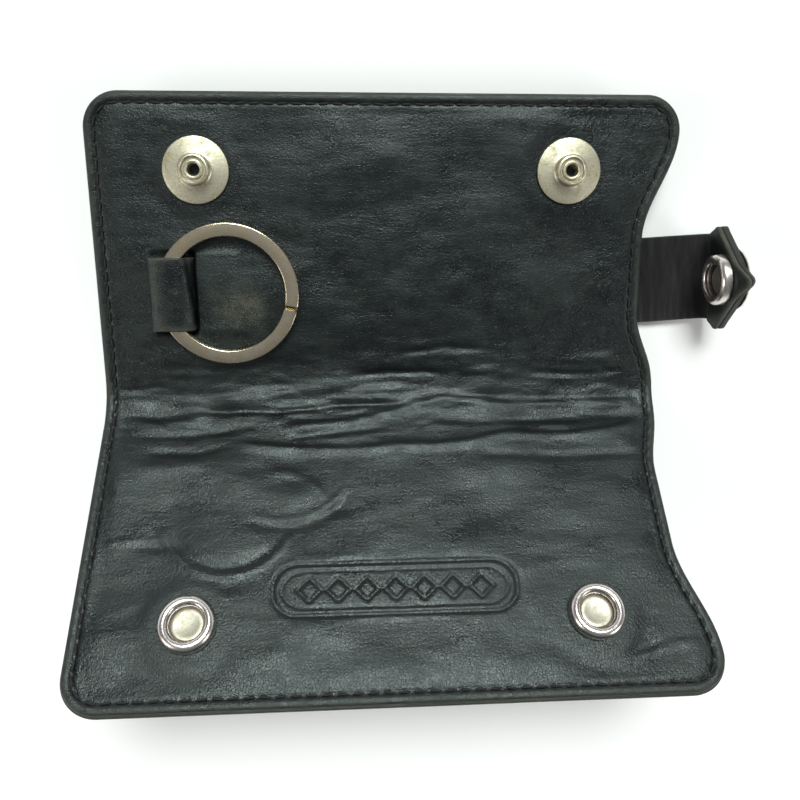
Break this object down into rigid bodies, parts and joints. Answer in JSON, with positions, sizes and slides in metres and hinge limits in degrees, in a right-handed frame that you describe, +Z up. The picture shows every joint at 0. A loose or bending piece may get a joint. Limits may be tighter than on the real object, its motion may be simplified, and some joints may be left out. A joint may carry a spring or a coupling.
{
  "type": "chain wallet",
  "caption": "Leather bifold wallet lying open, with a key ring on a leather loop, closing snaps and a side strap whose pointed end snaps over the closed front.",
  "frame": {"origin": "on the surface that it rests on, under the middle of its bounding box", "axes": "+X along the fold, towards the strap; +Y from the front panel towards the back panel, which carries the key ring; +Z up"},
  "size_m": [0.1458, 0.1254, 0.0423],
  "materials": {
    "outer_leather": "black smooth leather, satin",
    "lining_leather": "black smooth leather, worn satin",
    "strap_leather": "black flesh side, matt",
    "ring_steel": "polished nickel plate",
    "nickel": "polished nickel plate",
    "dull_nickel": "dull, slightly yellowed nickel plate",
    "spring_steel": "bare spring wire"
  },
  "bodies": {
    "back_panel": {"cover_back": "outer_leather", "lining_back": "lining_leather", "closing_stud_left": "dull_nickel", "closing_stud_right": "dull_nickel", "closing_eyelet_left": "nickel", "closing_eyelet_right": "nickel", "key_loop_tail": "lining_leather", "key_loop": "lining_leather", "strap_root": "strap_leather"},
    "spine": {"cover_spine": "outer_leather", "lining_spine": "lining_leather"},
    "front_panel": {"cover_front": "outer_leather", "lining_front": "lining_leather", "closing_cap_left": "nickel", "closing_cap_right": "nickel", "closing_socket_left": "nickel", "closing_socket_right": "nickel", "closing_spring_left": "spring_steel", "closing_spring_right": "spring_steel", "tab_stud": "nickel", "tab_eyelet": "nickel"},
    "key_ring": {"key_ring": "ring_steel"},
    "strap": {"strap": "strap_leather"},
    "tab": {"tab_end": "outer_leather", "tab_end_facing": "strap_leather", "tab_cap": "nickel", "tab_socket": "nickel", "tab_spring": "spring_steel"}
  },
  "joints": [
    {"name": "fold_back", "type": "hinge", "parent": "back_panel", "child": "spine", "pos_m": [-0.00636, -0.00309, 0.00258], "axis": [-1, 0, 0], "range_deg": [-21.9, 68.1]},
    {"name": "fold_front", "type": "hinge", "parent": "spine", "child": "front_panel", "pos_m": [-0.00636, -0.00775, 0.00375], "axis": [-1, 0, 0], "range_deg": [-21.9, 68.1]},
    {"name": "ring_swing", "type": "hinge", "parent": "back_panel", "child": "key_ring", "pos_m": [-0.05561, 0.019, 0.00781], "axis": [0, -0.9908, -0.1353], "range_deg": [0, 177], "deforming": ["key_loop"]},
    {"name": "strap_bend", "type": "hinge", "parent": "back_panel", "child": "strap", "pos_m": [0.05524, 0.02179, 0.0033], "axis": [0.061, -0.989, -0.135], "range_deg": [0, 90]},
    {"name": "tab_bend", "type": "hinge", "parent": "strap", "child": "tab", "pos_m": [0.06946, 0.02265, 0.00342], "axis": [0.061, -0.989, -0.135], "range_deg": [-90, 0]}
  ],
  "couplings": [
    {"joint": "fold_front", "follows": "fold_back", "ratio": 1}
  ]
}
